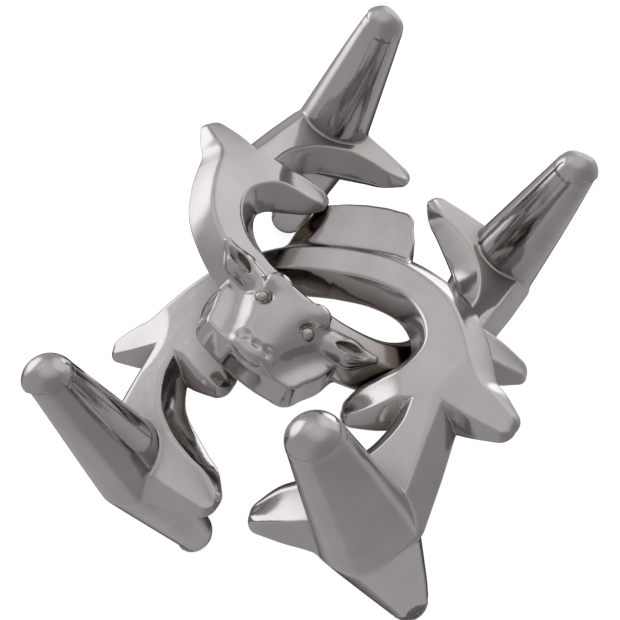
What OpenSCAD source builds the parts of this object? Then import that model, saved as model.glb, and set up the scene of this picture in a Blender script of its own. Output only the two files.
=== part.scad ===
// Disentanglement puzzle: two identical cast-metal animal heads whose
// branched antlers are hooked through each other.
//
// One casting is drawn in its own frame: x runs out along the antlers,
// y runs from the chin up to the antler tips, z points out of the face.

/* [Antler plate] */
// Thickness of the flat antler plate, face to face
plate_t = 4.8; // [3.6:0.1:6]
// How far the ridge half way through the plate stands out past its faces
ridge_w = 2.1; // [1:0.1:2.4]

/* [Cross-bars] */
// Length of each cross-bar, end to end
bar_l = 35.8; // [30:0.1:40]
// Radius of a cross-bar at its middle, on the antler
bar_r = 4.5; // [4:0.1:4.8]
// Radius of the rounded end of a cross-bar
bar_tip_r = 2.45; // [2:0.05:3]
// Share of the radius left outside the flat on a bar's middle
bar_flat_mid = 0.9; // [0.85:0.01:1]
// Share of the radius left outside the flat on a bar's end
bar_flat_tip = 0.45; // [0.4:0.01:0.9]

/* [Head] */
// Half width of the neck plate where it meets the antlers
neck_w = 7.1; // [6:0.1:8]
// Length of the neck plate below the middle of the antlers
neck_l = 16.6; // [15:0.1:18]
// Thickness of the neck plate
neck_t = 2.4; // [1.8:0.1:3]
// Radius of an eye bead
eye_r = 0.75; // [0.5:0.05:1]

/* [Rest pose] */
// Lean of the face-up casting, back onto the ends of its two rear cross-bars
lean = 14.6; // [14.3:0.1:14.9]

/* [Hidden] */
metal = [0.66, 0.65, 0.64];
face_z = plate_t / 2;
// The plate's wall: a thin core, and a shoulder between face and ridge.
core_t = 0.4;
shoulder_out = 0.62 * ridge_w;
shoulder_up = 0.45 * face_z;
bar_x = 12.85;
bar_y = 18.45;
bar_end_z = bar_l / 2 - bar_tip_r;
curve_steps = 4;
// Where each casting's own origin stands when the pair rests on a table, and
// how the face-down casting is turned where it is hooked through the other.
face_up_at = [-2.75, 4.36, 22.05];
face_down_at = [-0.02, -2.02, 21.6];
face_down_turn = [177.5, -30.85, 16.65];

// A smooth curve through the points p, as Catmull-Rom stretches of n steps.
function at(p, i) = p[max(0, min(len(p) - 1, i))];
function smooth(p, n = curve_steps) = concat(
    [for (i = [0:len(p) - 2], k = [0:n - 1])
        let (t = k / n, a = at(p, i - 1), b = p[i], c = p[i + 1], d = at(p, i + 2))
        0.5 * (2 * b + (c - a) * t + (2 * a - 5 * b + 4 * c - d) * t * t
            + (3 * b - a - 3 * c + d) * t * t * t)],
    [p[len(p) - 1]]);

// Half of the flat face's outline: brow, spike, beam, crown tine, throat tine.
brow = smooth([[0, -9.7], [6.4, -9.0], [12.4, -5.8], [15.5, -2], [17.9, 2.6], [20.8, 5.5]]);
spike_under = smooth([[20.7, 6], [18.2, 5.95], [15.65, 5.6]], 2);
crown = smooth([[15.6, 17], [12.6, 20.2], [9, 19.6], [3.75, 19.3]]);
crown_under = smooth([[3.65, 18.9], [6, 17], [9.2, 14.7], [11.6, 12.3], [13.1, 9], [13.25, 6.15]],
    3);
throat = smooth([[12, 6.35], [9.8, 7.2], [8.4, 7.3]], 2);
throat_over = smooth([[8.35, 7], [9.5, 5.2], [11.4, 3.2], [12.45, 0.3], [11.5, -2.5], [8.8, -5],
    [4.6, -6.4], [0, -6.75]], 3);
half_outline = concat(brow, spike_under, crown, crown_under, throat, throat_over);

function drop_ends(p) = [for (i = [1:len(p) - 2]) p[i]];
function flipped(p) = [for (i = [len(p) - 1:-1:0]) [-p[i][0], p[i][1]]];
outline = concat(half_outline, drop_ends(flipped(half_outline)));

module mirrored() {
    children();
    mirror([1, 0, 0]) children();
}

// The lens that rounds the plate's wall from face to ridge.
module wall_lens() {
    rotate_extrude($fn = 16)
        polygon([[0, -face_z + core_t / 2], [shoulder_out, -shoulder_up], [ridge_w, 0],
            [shoulder_out, shoulder_up], [0, face_z - core_t / 2]]);
}

module antler_plate() {
    minkowski() {
        translate([0, 0, -core_t / 2]) linear_extrude(core_t) polygon(outline);
        wall_lens();
    }
}

// Half a cross-bar: a tapered round bar with a ball end and a flat outer side.
module half_bar() {
    mid_flat = bar_r * bar_flat_mid;
    tip_flat = bar_tip_r * bar_flat_tip;
    slope = atan((mid_flat - tip_flat) / bar_end_z);
    difference() {
        union() {
            cylinder(h = bar_end_z, r1 = bar_r, r2 = bar_tip_r, $fn = 48);
            translate([0, 0, bar_end_z]) sphere(r = bar_tip_r, $fn = 48);
        }
        translate([0, mid_flat, 0]) rotate([slope, 0, 0])
            translate([-10, 0, -10]) cube([20, 10, 40]);
    }
}

module cross_bar() {
    translate([bar_x, bar_y, 0]) {
        half_bar();
        mirror([0, 0, 1]) half_bar();
    }
}

// The thin plate behind the face, with a bevelled front edge.
module neck_plate() {
    edge = smooth([[0, -neck_l], [neck_w - 2.8, -neck_l + 0.3], [neck_w - 1.5, -neck_l + 1],
        [neck_w - 0.95, -neck_l + 2.5], [neck_w - 0.25, -12.3], [neck_w, -10.2]], 3);
    inset = 1.3;
    back_z = -0.55 * neck_t;
    hull() {
        translate([0, 0, back_z]) linear_extrude(neck_t / 2)
            mirrored() polygon(concat(edge, [[neck_w, -8], [0, -8]]));
        translate([0, inset, 0]) linear_extrude(neck_t + back_z)
            mirrored() polygon([for (p = concat(edge, [[neck_w, -9], [0, -9]]))
                [max(0, p[0] - inset), p[1]]]);
    }
}

// Brow, muzzle and nose as one rounded wedge.
module muzzle() {
    hull() mirrored() {
        translate([1.9, -7.6, 3.1]) sphere(r = 1.7, $fn = 32);
        translate([2.3, -10.6, 1.7]) sphere(r = 1.7, $fn = 32);
        translate([1.5, -14.2, 1.2]) sphere(r = 1.6, $fn = 32);
        translate([0, -12, 2.6]) sphere(r = 1.9, $fn = 32);
    }
}

module eye() {
    translate([2.8, -10.6, 2.75]) sphere(r = eye_r, $fn = 24);
}

// A leaf-shaped ear with a hollow along its front.
module ear() {
    difference() {
        hull() {
            translate([4.4, -8.6, 1.1]) sphere(r = 1.3, $fn = 24);
            translate([6.6, -8.6, 1.6]) sphere(r = 1.35, $fn = 24);
            translate([8.9, -8.3, 2.5]) sphere(r = 0.45, $fn = 24);
        }
        hull() {
            translate([6.3, -9.2, 3.1]) sphere(r = 0.45, $fn = 16);
            translate([8.1, -8.9, 3.3]) sphere(r = 0.3, $fn = 16);
        }
    }
}

module casting() {
    color(metal) {
        antler_plate();
        mirrored() {
            cross_bar();
            eye();
            ear();
        }
        neck_plate();
        muzzle();
    }
}

module face_up_casting() {
    translate(face_up_at) rotate([-lean, 0, 0]) casting();
}

module face_down_casting() {
    translate(face_down_at) rotate(face_down_turn) casting();
}

face_up_casting();
face_down_casting();
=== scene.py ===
import math

import bpy
import numpy as np
from mathutils import Matrix, Vector


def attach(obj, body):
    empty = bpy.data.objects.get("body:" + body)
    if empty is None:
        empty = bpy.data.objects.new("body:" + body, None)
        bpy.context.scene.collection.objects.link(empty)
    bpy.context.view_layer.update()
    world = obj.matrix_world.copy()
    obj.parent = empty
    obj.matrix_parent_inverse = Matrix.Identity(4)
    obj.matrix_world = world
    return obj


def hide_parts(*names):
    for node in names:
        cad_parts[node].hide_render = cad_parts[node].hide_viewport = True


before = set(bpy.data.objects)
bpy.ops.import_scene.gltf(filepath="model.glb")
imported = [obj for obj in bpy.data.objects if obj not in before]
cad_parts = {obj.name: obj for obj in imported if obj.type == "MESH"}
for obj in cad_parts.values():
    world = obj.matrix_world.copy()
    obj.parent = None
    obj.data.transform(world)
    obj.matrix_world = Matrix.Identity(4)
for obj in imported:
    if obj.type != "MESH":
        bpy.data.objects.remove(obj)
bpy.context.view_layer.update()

MM = 0.001

# ---------------------------------------------------------------- camera
CAMERA_AT = Vector((9.236, -40.004, 102.352)) * MM
CAMERA_FORWARD = (-0.12530, 0.43909, -0.88966)
CAMERA_UP = (-0.62499, 0.66149, 0.41450)
SENSOR_WIDTH, LENS = 36, 50.98
CLIP_START, CLIP_END = 0.005, 20


def add_camera():
    """The camera, at the photograph's viewing angle."""
    forward = Vector(CAMERA_FORWARD).normalized()
    right = forward.cross(Vector(CAMERA_UP)).normalized()
    up = right.cross(forward).normalized()
    turn = Matrix((right, up, -forward)).transposed().to_4x4()
    lens = bpy.data.cameras.new("camera")
    lens.sensor_width = SENSOR_WIDTH
    lens.lens = LENS
    lens.clip_start = CLIP_START
    lens.clip_end = CLIP_END
    lens.dof.use_dof = False
    cam = bpy.data.objects.new("camera", lens)
    cam.matrix_world = Matrix.Translation(CAMERA_AT) @ turn
    bpy.context.scene.collection.objects.link(cam)
    bpy.context.scene.camera = cam


add_camera()

# ---------------------------------------------------------------- sizes of one casting, in mm
# x runs out along the antlers (both sides alike), y from chin to antler tips, z out of the face.
# The plate's flat face ends at an outline; its wall swells out from there to a blunt ridge at z = 0.
FACE_Z = 2.4
RIDGE_OUT = 2.05
NARROWEST_WALL = 0.4
WALL_SLOPE, WALL_CURVE = 0.72, 0.28
# Where the plate thins towards the point of a tine: x, y and how far from there it starts.
TIPS = [(22.2, 6.4, 7.5), (2.2, 20.0, 8.5), (6.5, 7.7, 6.0)]
TIP_EASE = 1.35
TIP_THINNING = 0.78
TIP_FACE_OUT = 0.95
TIP_RIDGE_IN = 0.6

# The cross-bars run along z. u is measured from a bar's axis away from the head, v along y.
BAR_X, BAR_Y = 12.85, 18.45
BAR_END = 15.45
BAR_MID_R, BAR_TIP_R = 4.5, 2.39
# The outer face: its height over the axis at the bar's middle and end, and the radius of its bulge.
BAR_FACE_MID, BAR_FACE_TIP = 4.15, 2.3
BAR_BULGE_MID, BAR_BULGE_SHRINK = 8, 4.8
# How far the outer half stands out of the round half in the middle, and where past BAR_END a ball shows.
BAR_SHOULDER = 0.35
BALL_STARTS = 1.05
# Flat sides of a bar: how much each faces along u and v, and its distance in bar radii.
ROUND_HALF_CUT = (0.832, 0.555, 0.765)
CHAMFER = (0.855, 0.52, 0.751)
INNER_WALL = (-0.974, 0.228, 0.904)
OUTER_HALF_FROM = -0.4

# The neck plate, whose sides lean in towards its front.
NECK_BACK, NECK_FRONT = -1.45, 1.15
NECK_LEAN, NECK_LEAN_FROM = 0.26, -1.0
NECK_STEEPNESS = 0.97

# The head's top falls from the brow to the nose; its cheeks start at the neck plate's front.
BROW_Y, TOP_Z = -8, 3.95
TOP_SLOPE, TOP_DOME, TOP_STEEPNESS = 0.145, 0.1, 0.96
BROW_RISE, BROW_FLATTER, BROW_EASE, BROW_LIMIT = 0.65, 0.06, 1.3, -1.5
CHEEK_FLARE, NOSE_FLARE, NOSE_FLARE_FROM, NOSE_FLARE_LENGTH = 0.32, 0.1, -10, 6
CROWN_FLARE, CROWN_FLARE_FROM, CROWN_FLARE_LENGTH = 0.75, -8.9, 1.4
HEAD_BACK = -1
EYE_AT, EYE_R = (2.8, -10.6, 2.75), 0.68

# The ear is a leaf that leans forward; its hollow is turned with it.
EAR_ROOT, EAR_MIDDLE, EAR_POINT = (4.0, -8.9, 1.4), (6.9, -8.6, 2.1), (9.2, -8.1, 3.1)
EAR_ROOT_R, EAR_MIDDLE_R, EAR_POINT_R = 1.4, 1.3, 0.42
HOLLOW_AT, HOLLOW_RADII = (7.2, -8.95, 3.5), (1.9, 0.55, 0.95)
HOLLOW_COS, HOLLOW_SIN, HOLLOW_SKEW = 0.93, 0.37, 0.14

# The grid that the surface is found on: its cell, and how far it reaches from the casting's origin.
CELL, QUICK_CELL = 0.17, 0.3
GRID_X, GRID_Y, GRID_Z = 24.5, (-19.2, 24.8), 18.6
PROBE = 0.02
FLATTEST_SLOPE = 0.25


def curve(points, steps=4):
    """A smooth line through the points."""
    p = np.array(points, float)
    q = np.vstack([p[0], p, p[-1]])
    out = []
    for i in range(len(p) - 1):
        a, b, c, d = q[i:i + 4]
        for t in np.arange(steps) / steps:
            out.append(0.5 * (2 * b + (c - a) * t + (2 * a - 5 * b + 4 * c - d) * t ** 2
                              + (3 * b - a - 3 * c + d) * t ** 3))
    return out + [p[-1]]


def both_halves(half):
    """A closed outline from its right half, which runs from one point of the middle line to another."""
    half = np.array(half)
    return np.vstack([half, (half * [-1, 1])[-2:0:-1]])


# Crescent brow, brow spike, beam, crown tine, throat tine and back along the bay.
PLATE = both_halves(
    curve([(0, -9.7), (6.4, -9.0), (12.4, -5.8), (15.5, -2), (17.9, 2.6), (19.7, 4.25), (21.2, 5.75)], 16)
    + curve([(21.1, 6.15), (18.4, 6.05), (15.65, 5.6)], 6)
    + curve([(15.6, 17), (12.6, 20.2), (9, 19.65), (5.6, 19.85), (3.1, 19.9)], 16)
    + curve([(3.05, 19.55), (4.4, 17.95), (6.1, 16.9), (9.2, 14.7), (11.6, 12.3), (13.1, 9),
             (13.25, 6.15)], 14)
    + curve([(12, 6.35), (9.8, 7.25), (7.5, 7.7)], 8)
    + curve([(7.45, 7.3), (8.2, 6.1), (9.4, 5.05), (11.4, 3.2), (12.45, 0.3), (11.5, -2.5),
             (8.8, -5), (4.6, -6.4), (0, -6.75)], 14))
NECK = both_halves(
    curve([(0, -16.6), (4.3, -16.3), (5.6, -15.6), (6.15, -14.1), (6.85, -12.3), (7.1, -10.2),
           (7.3, -8.6)], 10) + [np.array([7.3, -7.4]), np.array([0, -7.4])])
HEAD = both_halves(
    curve([(0, -16.7), (1.5, -16.6), (2.5, -16.0), (3.05, -15), (3.55, -13.2), (4.2, -11.6),
           (4.8, -10.2), (4.6, -8.4), (3.6, -6.9), (2.3, -6.3), (1, -6.7), (0, -7.0)], 10))


# ---------------------------------------------------------------- distance fields, negative in metal
def outline_distance(outline, x, y):
    """Signed distance from points to a closed outline, negative inside."""
    shape = np.broadcast_shapes(np.shape(x), np.shape(y))
    px, py = np.broadcast_to(x, shape).ravel(), np.broadcast_to(y, shape).ravel()
    best = np.full(px.shape, np.inf)
    inside = np.zeros(px.shape, bool)
    for a, b in zip(outline, np.roll(outline, -1, axis=0)):
        e = b - a
        if not e.any():
            continue
        t = np.clip(((px - a[0]) * e[0] + (py - a[1]) * e[1]) / (e @ e), 0, 1)
        best = np.minimum(best, (px - a[0] - t * e[0]) ** 2 + (py - a[1] - t * e[1]) ** 2)
        if e[1] != 0:
            crossing = (a[1] > py) != (b[1] > py)
            inside ^= crossing & (px < a[0] + (py - a[1]) * e[0] / e[1])
    return (np.sqrt(best) * np.where(inside, -1, 1)).reshape(shape)


def soft_max(a, b, blend):
    """The larger of a and b, rounded over where they differ by less than blend: what two shapes share."""
    h = np.maximum(blend - np.abs(a - b), 0) / blend
    return np.maximum(a, b) + h * h * blend / 4


def soft_min(a, b, blend):
    """The smaller of a and b, rounded over where they differ by less than blend: two shapes joined."""
    return -soft_max(-a, -b, blend)


def rounded_abs(z, radius):
    """The distance from the plane z = 0, rounded off close to it."""
    return np.sqrt(z * z + radius ** 2)


def blob(x, y, z, centre, radii):
    """Roughly the distance to an ellipsoid."""
    u, v, w = x - centre[0], y - centre[1], z - centre[2]
    return (np.sqrt((u / radii[0]) ** 2 + (v / radii[1]) ** 2 + (w / radii[2]) ** 2) - 1) * min(radii)


def rod(x, y, z, a, b, ra, rb):
    """Distance to a round rod from a to b, whose radius runs from ra to rb."""
    a, b = np.array(a, float), np.array(b, float)
    e = b - a
    t = np.clip(((x - a[0]) * e[0] + (y - a[1]) * e[1] + (z - a[2]) * e[2]) / (e @ e), 0, 1)
    return np.sqrt((x - a[0] - t * e[0]) ** 2 + (y - a[1] - t * e[1]) ** 2
                   + (z - a[2] - t * e[2]) ** 2) - (ra + (rb - ra) * t)


def plate_shape(x, y, z, d):
    """Flat faces, and walls that swell out to a blunt ridge half way through. It thins out at the tips."""
    tip = 0
    for tip_x, tip_y, reach in TIPS:
        near = np.clip((reach - np.hypot(x - tip_x, y - tip_y)) / reach, 0, 1)
        tip = np.maximum(tip, near ** TIP_EASE)
    height = FACE_Z * (1 - TIP_THINNING * tip)
    past_face = d - TIP_FACE_OUT * tip
    to_ridge = RIDGE_OUT - TIP_RIDGE_IN * tip - d
    width = np.maximum(past_face + to_ridge, NARROWEST_WALL)
    # s runs from 0 at the face's edge to 1 at the ridge, and on past both.
    s = np.where(to_ridge > 0, past_face / width, 1 - to_ridge / width)
    s = np.where(past_face < 0, past_face / width, s)
    on_wall = np.clip(s, 0, 1)
    fall = (1 - WALL_SLOPE * on_wall - WALL_CURVE * on_wall ** 2
            - WALL_SLOPE * np.minimum(s, 0) - (WALL_SLOPE + 2 * WALL_CURVE) * np.maximum(s - 1, 0))
    steep = (WALL_SLOPE + 2 * WALL_CURVE * on_wall) * height / width
    zz = rounded_abs(z, 0.12)
    wall = (zz - height * fall) / np.sqrt(1 + steep ** 2)
    return soft_max(zz - height, wall, 0.2)


def flat_side(u, v, r, side):
    """Distance past one flat side of a bar whose radius is r."""
    along_u, along_v, share = side
    return along_u * u + along_v * v - share * r


def bar_shape(x, y, z):
    """A double-tapered bar with ball ends: half a cone inside, a broad bulged face outside."""
    u, v = x - BAR_X, y - BAR_Y
    zz = rounded_abs(z, 0.5)
    t = np.clip(zz / BAR_END, 0, 1.15)
    r = BAR_MID_R + (BAR_TIP_R - BAR_MID_R) * np.minimum(t, 1)
    from_axis = np.sqrt(u * u + v * v + np.maximum(zz - BAR_END, 0) ** 2)
    round_half = soft_max(from_axis - r, flat_side(u, v, r, ROUND_HALF_CUT), 0.2)
    sides = soft_max(flat_side(u, v, r, CHAMFER), flat_side(u, v, r, INNER_WALL), 0.3)
    shoulder = from_axis - r - BAR_SHOULDER * np.maximum(1 - t, 0)
    outer_half = soft_max(soft_max(sides, OUTER_HALF_FROM - v, 0.2), shoulder, 0.1)
    bulge_r = BAR_BULGE_MID - BAR_BULGE_SHRINK * t
    face_v = BAR_FACE_MID + (BAR_FACE_TIP - BAR_FACE_MID) * t
    face = np.hypot(u, v - face_v + bulge_r) - bulge_r
    softer_away_from_head = 0.6 + 1.2 * np.clip(u / 2 + 0.5, 0, 1)
    bar = soft_max(soft_min(round_half, outer_half, 0.12), face, softer_away_from_head)
    ball = np.sqrt(u * u + v * v + (np.abs(z) - BAR_END) ** 2) - BAR_TIP_R
    return soft_min(bar, soft_max(ball, BAR_END + BALL_STARTS - zz, 0.1), 0.05)


def neck_shape(z, d):
    """The thin plate behind the head: flat back and front, steep sides."""
    side = (d + NECK_LEAN * (z - NECK_LEAN_FROM)) * NECK_STEEPNESS
    return soft_max(soft_max(side, NECK_BACK - z, 0.5), z - NECK_FRONT, 0.3)


def head_shape(x, y, z, d):
    """Forehead and snout: a sloping, gently domed top over cheeks that flare towards the nose."""
    down = BROW_Y - y
    brow = np.exp(-np.maximum(down, BROW_LIMIT) / BROW_EASE)
    dome = (TOP_DOME - BROW_FLATTER * brow) * x * x
    top = (z - TOP_Z + TOP_SLOPE * down - BROW_RISE * brow + dome) * TOP_STEEPNESS
    back = np.clip((y - CROWN_FLARE_FROM) / CROWN_FLARE_LENGTH, 0, 1)
    flare = (CHEEK_FLARE + NOSE_FLARE * np.clip(NOSE_FLARE_FROM - y, 0, NOSE_FLARE_LENGTH)
             + CROWN_FLARE * back * back * (3 - 2 * back))
    cheek = (d + flare * np.maximum(z - NECK_FRONT, 0)) / np.sqrt(1 + flare ** 2)
    head = soft_max(soft_max(cheek, top, 0.6), HEAD_BACK - z, 0.3)
    crest = blob(x, y, z, (2.45, -8.3, 3.5), (1.3, 1.0, 0.75))
    muzzle = blob(x, y, z, (0, -15.7, 1.8), (1.9, 0.95, 0.8))
    head = soft_min(soft_min(head, crest, 0.9), muzzle, 0.6)
    mouth = rod(x, y, z, (-0.1, -16.75, 1.35), (1.9, -16.3, 1.75), 0.28, 0.12)
    nose_dent = blob(x, y, z, (0, -15.3, 3.0), (0.7, 0.4, 0.5))
    nostril = blob(x, y, z, (1.6, -15.1, 2.75), (0.6, 0.4, 0.4))
    return soft_max(soft_max(soft_max(head, -mouth, 0.15), -nose_dent, 0.2), -nostril, 0.5)


def ear_shape(x, y, z):
    """A leaf-shaped ear, hollow in front."""
    leaf = soft_min(rod(x, y, z, EAR_ROOT, EAR_MIDDLE, EAR_ROOT_R, EAR_MIDDLE_R),
                    rod(x, y, z, EAR_MIDDLE, EAR_POINT, EAR_MIDDLE_R, EAR_POINT_R), 0.6)
    u, v, w = x - HOLLOW_AT[0], y - HOLLOW_AT[1], z - HOLLOW_AT[2]
    turned = (u * HOLLOW_COS + w * HOLLOW_SIN, v - HOLLOW_SKEW * u, w * HOLLOW_COS - u * HOLLOW_SIN)
    return soft_max(leaf, -blob(*turned, (0, 0, 0), HOLLOW_RADII), 0.12)


def casting_shape(x, y, z, d_plate, d_neck, d_head):
    """The whole casting, given each point's distances to the three outlines."""
    x = np.abs(x)
    metal = soft_min(plate_shape(x, y, z, d_plate), bar_shape(x, y, z), 0.25)
    neck = neck_shape(z, d_neck)
    metal = soft_min(metal, neck, 0.35)
    head = soft_min(head_shape(x, y, z, d_head), neck, 1.1)
    eye_socket = blob(x, y, z, (2.85, -10.65, 3.4), (1.0, 0.9, 0.68))
    eye = blob(x, y, z, EYE_AT, (EYE_R,) * 3)
    head = soft_min(soft_max(head, -eye_socket, 0.25), eye, 0.06)
    head = soft_min(head, ear_shape(x, y, z), 0.35)
    return soft_min(metal, head, 0.35)


def casting_at(points):
    """The casting's distance field at a list of points."""
    x, y, z = points.T
    return casting_shape(x, y, z, *[outline_distance(line, x, y) for line in (PLATE, NECK, HEAD)])


def casting_on_grid(xs, ys, zs):
    """The casting's distance field at every crossing of a grid."""
    x, y = xs[:, None, None], ys[None, :, None]
    lines = [outline_distance(line, x, y).astype(np.float32) for line in (PLATE, NECK, HEAD)]
    z = zs[None, None, :].astype(np.float32)
    return casting_shape(x.astype(np.float32), y.astype(np.float32), z, *lines)


# ---------------------------------------------------------------- the casting's surface
CORNERS = np.array([(i, j, k) for i in (0, 1) for j in (0, 1) for k in (0, 1)])
CELL_EDGES = [(a, b) for a in range(8) for b in range(a + 1, 8)
              if abs(CORNERS[a] - CORNERS[b]).sum() == 1]
# Four points around a vertex, from which the field's slope is read.
LEGS = np.array([(1, 1, 1), (1, -1, -1), (-1, 1, -1), (-1, -1, 1)]) * PROBE


def quads_across(axis, solid, index):
    """A quad around every grid edge along the axis that enters or leaves the metal."""
    start, end = [slice(1, -1)] * 3, [slice(1, -1)] * 3
    start[axis], end[axis] = slice(0, -1), slice(1, None)
    solid_start, solid_end = solid[tuple(start)], solid[tuple(end)]
    edges = np.argwhere(solid_start != solid_end)
    leaving = solid_start[tuple(edges.T)]
    edges += 1
    edges[:, axis] -= 1
    step_p, step_q = np.delete(np.eye(3, dtype=int), axis, axis=0)
    around = [step_p + step_q, step_q, np.zeros(3, int), step_p]
    ring = np.stack([index[tuple((edges - step).T)] for step in around], axis=1)
    flip = leaving if axis == 1 else ~leaving
    ring[flip] = ring[flip][:, ::-1]
    return ring[(ring >= 0).all(axis=1)]


def surface_net(field, cell, origin):
    """One vertex in each grid cell that the surface crosses, the quads between them, and each one's cell."""
    solid = field < 0
    n = np.array(field.shape) - 1
    count = np.zeros(n, np.int8)
    for i, j, k in CORNERS:
        count += solid[i:i + n[0], j:j + n[1], k:k + n[2]]
    cells = np.argwhere((count > 0) & (count < 8))
    index = np.full(n, -1, np.int32)
    index[tuple(cells.T)] = np.arange(len(cells))
    values = np.stack([field[tuple((cells + corner).T)] for corner in CORNERS], axis=1)
    total, hits = np.zeros((len(cells), 3)), np.zeros(len(cells))
    for a, b in CELL_EDGES:
        at_a, at_b = values[:, a], values[:, b]
        cut = (at_a < 0) != (at_b < 0)
        t = np.where(cut, at_a / np.where(cut, at_a - at_b, 1), 0)
        total += cut[:, None] * (CORNERS[a] + t[:, None] * (CORNERS[b] - CORNERS[a]))
        hits += cut
    verts = (cells + total / hits[:, None]) * cell + origin
    return verts, np.vstack([quads_across(axis, solid, index) for axis in range(3)]), cells


def value_and_slope(verts):
    """The field and its slope at each vertex."""
    samples = [casting_at(verts + leg) for leg in LEGS]
    slope = sum(s[:, None] * leg for s, leg in zip(samples, LEGS)) / (4 * PROBE ** 2)
    return sum(samples) / 4, slope


def settle(verts, middle, cell):
    """Moves the vertices onto the true surface, in two steps of at most half a cell. Returns normals."""
    for _ in range(2):
        value, slope = value_and_slope(verts)
        steep = np.maximum((slope ** 2).sum(axis=1), FLATTEST_SLOPE)
        move = (value / steep)[:, None] * slope
        length = np.linalg.norm(move, axis=1, keepdims=True)
        verts -= move * np.minimum(1, 0.5 * cell / np.maximum(length, 1e-9))
        verts[middle, 0] = 0
    slope = value_and_slope(verts)[1]
    slope[middle, 0] = 0
    return slope / np.linalg.norm(slope, axis=1, keepdims=True)


def casting_mesh(cell):
    """The surface of one casting as vertices (mm), quads and normals: built for x >= 0 and mirrored."""
    xs = np.arange(-0.5, GRID_X / cell) * cell
    ys = np.arange(*GRID_Y, cell)
    zs = np.arange(-GRID_Z, GRID_Z + cell, cell)
    verts, quads, cells = surface_net(casting_on_grid(xs, ys, zs), cell, [xs[0], ys[0], zs[0]])
    middle = cells[:, 0] == 0
    normals = settle(verts, middle, cell)
    mirror = np.arange(len(verts))
    mirror[~middle] = len(verts) + np.arange((~middle).sum())
    mirrored_quads = mirror[quads][:, ::-1]
    verts = np.vstack([verts, verts[~middle] * [-1, 1, 1]])
    normals = np.vstack([normals, normals[~middle] * [-1, 1, 1]])
    return verts, np.vstack([quads, mirrored_quads]), normals


# ---------------------------------------------------------------- material
def add_node(tree, kind, **values):
    """A new shader node; a value's name is its input's, with _ for a space."""
    node = tree.nodes.new("ShaderNode" + kind)
    for name, value in values.items():
        node.inputs[name.replace("_", " ")].default_value = value
    return node


def nickel_material():
    """Bright nickel plating, with an uneven tone, a fine ripple and brown painted shade in its hollows."""
    material = bpy.data.materials.new("nickel")
    material.use_nodes = True
    tree = material.node_tree
    link = tree.links.new
    bsdf = tree.nodes["Principled BSDF"]
    bsdf.inputs["Metallic"].default_value = 1.0
    coords = add_node(tree, "TexCoord").outputs["Object"]

    cloud = add_node(tree, "TexNoise", Scale=180, Detail=4)
    link(coords, cloud.inputs["Vector"])
    tone = add_node(tree, "ValToRGB")
    darker, lighter = tone.color_ramp.elements
    darker.position, darker.color = 0.3, (0.49, 0.475, 0.47, 1)
    lighter.position, lighter.color = 0.7, (0.57, 0.55, 0.545, 1)
    link(cloud.outputs["Fac"], tone.inputs["Fac"])

    # Painted shade: the base colour turns dark brown where ambient occlusion finds the metal closed in, in
    # hollows and creases.
    hollow = add_node(tree, "AmbientOcclusion", Distance=7 * MM)
    hollow.samples = 8
    openness = add_node(tree, "MapRange", From_Min=0.4, From_Max=0.9)
    link(hollow.outputs["AO"], openness.inputs["Value"])
    hollow_shade = add_node(tree, "Mix")
    hollow_shade.data_type = "RGBA"
    hollow_shade.inputs["A"].default_value = (0.19, 0.16, 0.125, 1)
    link(openness.outputs["Result"], hollow_shade.inputs["Factor"])
    link(tone.outputs["Color"], hollow_shade.inputs["B"])
    link(hollow_shade.outputs["Result"], bsdf.inputs["Base Color"])

    roughness = add_node(tree, "MapRange", To_Min=0.08, To_Max=0.16)
    link(cloud.outputs["Fac"], roughness.inputs["Value"])
    link(roughness.outputs["Result"], bsdf.inputs["Roughness"])

    ripple = add_node(tree, "TexNoise", Scale=420, Detail=3)
    link(coords, ripple.inputs["Vector"])
    bump = add_node(tree, "Bump", Strength=0.12, Distance=0.2 * MM)
    link(ripple.outputs["Fac"], bump.inputs["Height"])
    link(bump.outputs["Normal"], bsdf.inputs["Normal"])
    return material


# ---------------------------------------------------------------- the two castings
# The CAD node that each body's casting replaces, and its place (mm) and turn (degrees about x, y, z).
PLACES = {
    "face_up": ("face_up_casting", (-2.75, 4.36, 22.05), (-14.6, 0, 0)),
    "face_down": ("face_down_casting", (-0.02, -2.02, 21.6), (177.5, -30.85, 16.65)),
}


def turn_xyz(degrees):
    """The rotation about x, then y, then z."""
    a, b, c = [math.radians(v) for v in degrees]
    turn = Matrix.Rotation(c, 4, "Z") @ Matrix.Rotation(b, 4, "Y") @ Matrix.Rotation(a, 4, "X")
    return np.array(turn.to_3x3())


nickel = nickel_material()
verts, quads, normals = casting_mesh(CELL)
for body, (cad_node, place, angles) in PLACES.items():
    turn = turn_xyz(angles)
    mesh = bpy.data.meshes.new(body)
    mesh.from_pydata(((verts @ turn.T + place) * MM).tolist(), [], quads.tolist())
    mesh.polygons.foreach_set("use_smooth", [True] * len(mesh.polygons))
    mesh.update()
    mesh.normals_split_custom_set_from_vertices((normals @ turn.T).tolist())
    mesh.materials.append(nickel)
    piece = bpy.data.objects.new(body + "_metal", mesh)
    bpy.context.scene.collection.objects.link(piece)
    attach(piece, body)
    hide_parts(cad_node)

# ---------------------------------------------------------------- floor
FLOOR_HALF = 2


def add_floor():
    """A plain white floor that the metal doesn't mirror."""
    h = FLOOR_HALF
    mesh = bpy.data.meshes.new("floor")
    mesh.from_pydata([(-h, -h, 0), (h, -h, 0), (h, h, 0), (-h, h, 0)], [], [(0, 1, 2, 3)])
    floor = bpy.data.objects.new("floor", mesh)
    bpy.context.scene.collection.objects.link(floor)
    floor.visible_glossy = False
    white = bpy.data.materials.new("floor_white")
    white.use_nodes = True
    paint = white.node_tree.nodes["Principled BSDF"].inputs
    paint["Base Color"].default_value = (0.9, 0.9, 0.9, 1)
    paint["Roughness"].default_value = 0.9
    paint["Emission Color"].default_value = (1, 1, 1, 1)
    paint["Emission Strength"].default_value = 0.75
    mesh.materials.append(white)


add_floor()

# ---------------------------------------------------------------- light
STUDIO_GREY = (0.49, 0.475, 0.49)
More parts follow.
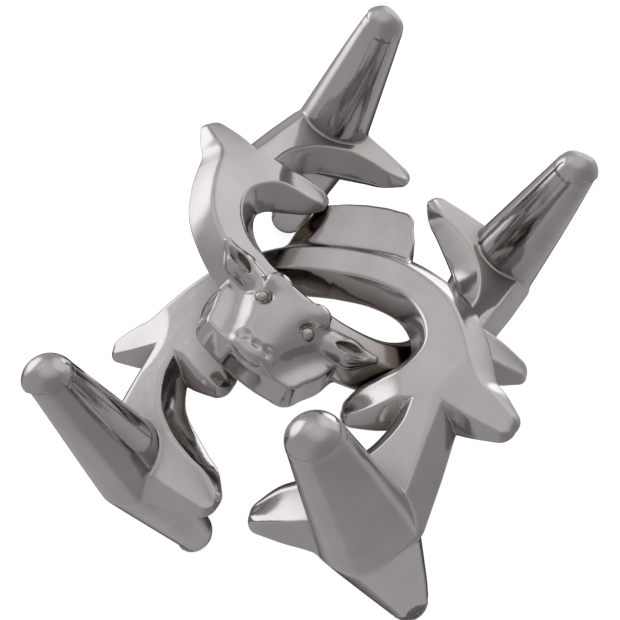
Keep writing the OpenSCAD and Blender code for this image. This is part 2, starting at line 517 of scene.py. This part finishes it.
# Soft round panels: azimuth from +X, elevation, half width and soft edge in degrees, and the light
# that each adds. Those below zero take light away.
PANELS = [
    (178, -8, 13, 17, (1.0, 1.0, 1.0)),
    (97, -18, 9, 10, (1.1, 1.1, 1.1)),
    (98, 13, 14, 22, (0.45, 0.43, 0.42)),
    (138, 60, 0, 50, (0.26, 0.26, 0.26)),
    (170, 18, 8, 28, (0.2, 0.2, 0.205)),
    (-12, 28, 0, 80, (-0.17, -0.17, -0.175)),
    (92, -66, 18, 26, (-0.42, -0.42, -0.42)),
    (-168, -44, 4, 10, (-0.3, -0.3, -0.3)),
]


def vector_math(tree, operation):
    """A new vector sum, product or the like."""
    node = add_node(tree, "VectorMath")
    node.operation = operation
    return node


def panel_light(tree, sky, azimuth, elevation, half_width, edge, colour):
    """One panel's light, from the direction sky that a ray leaves in."""
    az, el = math.radians(azimuth), math.radians(elevation)
    facing = vector_math(tree, "DOT_PRODUCT")
    tree.links.new(sky, facing.inputs[0])
    facing.inputs[1].default_value = (
        math.cos(el) * math.cos(az), math.cos(el) * math.sin(az), math.sin(el))
    share = add_node(tree, "MapRange", From_Min=math.cos(math.radians(half_width + edge)),
                     From_Max=math.cos(math.radians(half_width)))
    share.interpolation_type = "SMOOTHSTEP"
    tree.links.new(facing.outputs["Value"], share.inputs["Value"])
    glow = vector_math(tree, "SCALE")
    glow.inputs[0].default_value = colour
    tree.links.new(share.outputs["Result"], glow.inputs["Scale"])
    return glow.outputs[0]


def add_studio():
    """A grey room lit by the panels."""
    world = bpy.data.worlds.new("studio")
    bpy.context.scene.world = world
    world.use_nodes = True
    tree = world.node_tree
    sky = add_node(tree, "TexCoord").outputs["Generated"]
    light = None
    for panel in PANELS:
        total = vector_math(tree, "ADD")
        tree.links.new(panel_light(tree, sky, *panel), total.inputs[0])
        if light is None:
            total.inputs[1].default_value = STUDIO_GREY
        else:
            tree.links.new(light, total.inputs[1])
        light = total.outputs[0]
    tree.links.new(light, tree.nodes["Background"].inputs["Color"])


bpy.context.scene.view_settings.view_transform = "Standard"
add_studio()
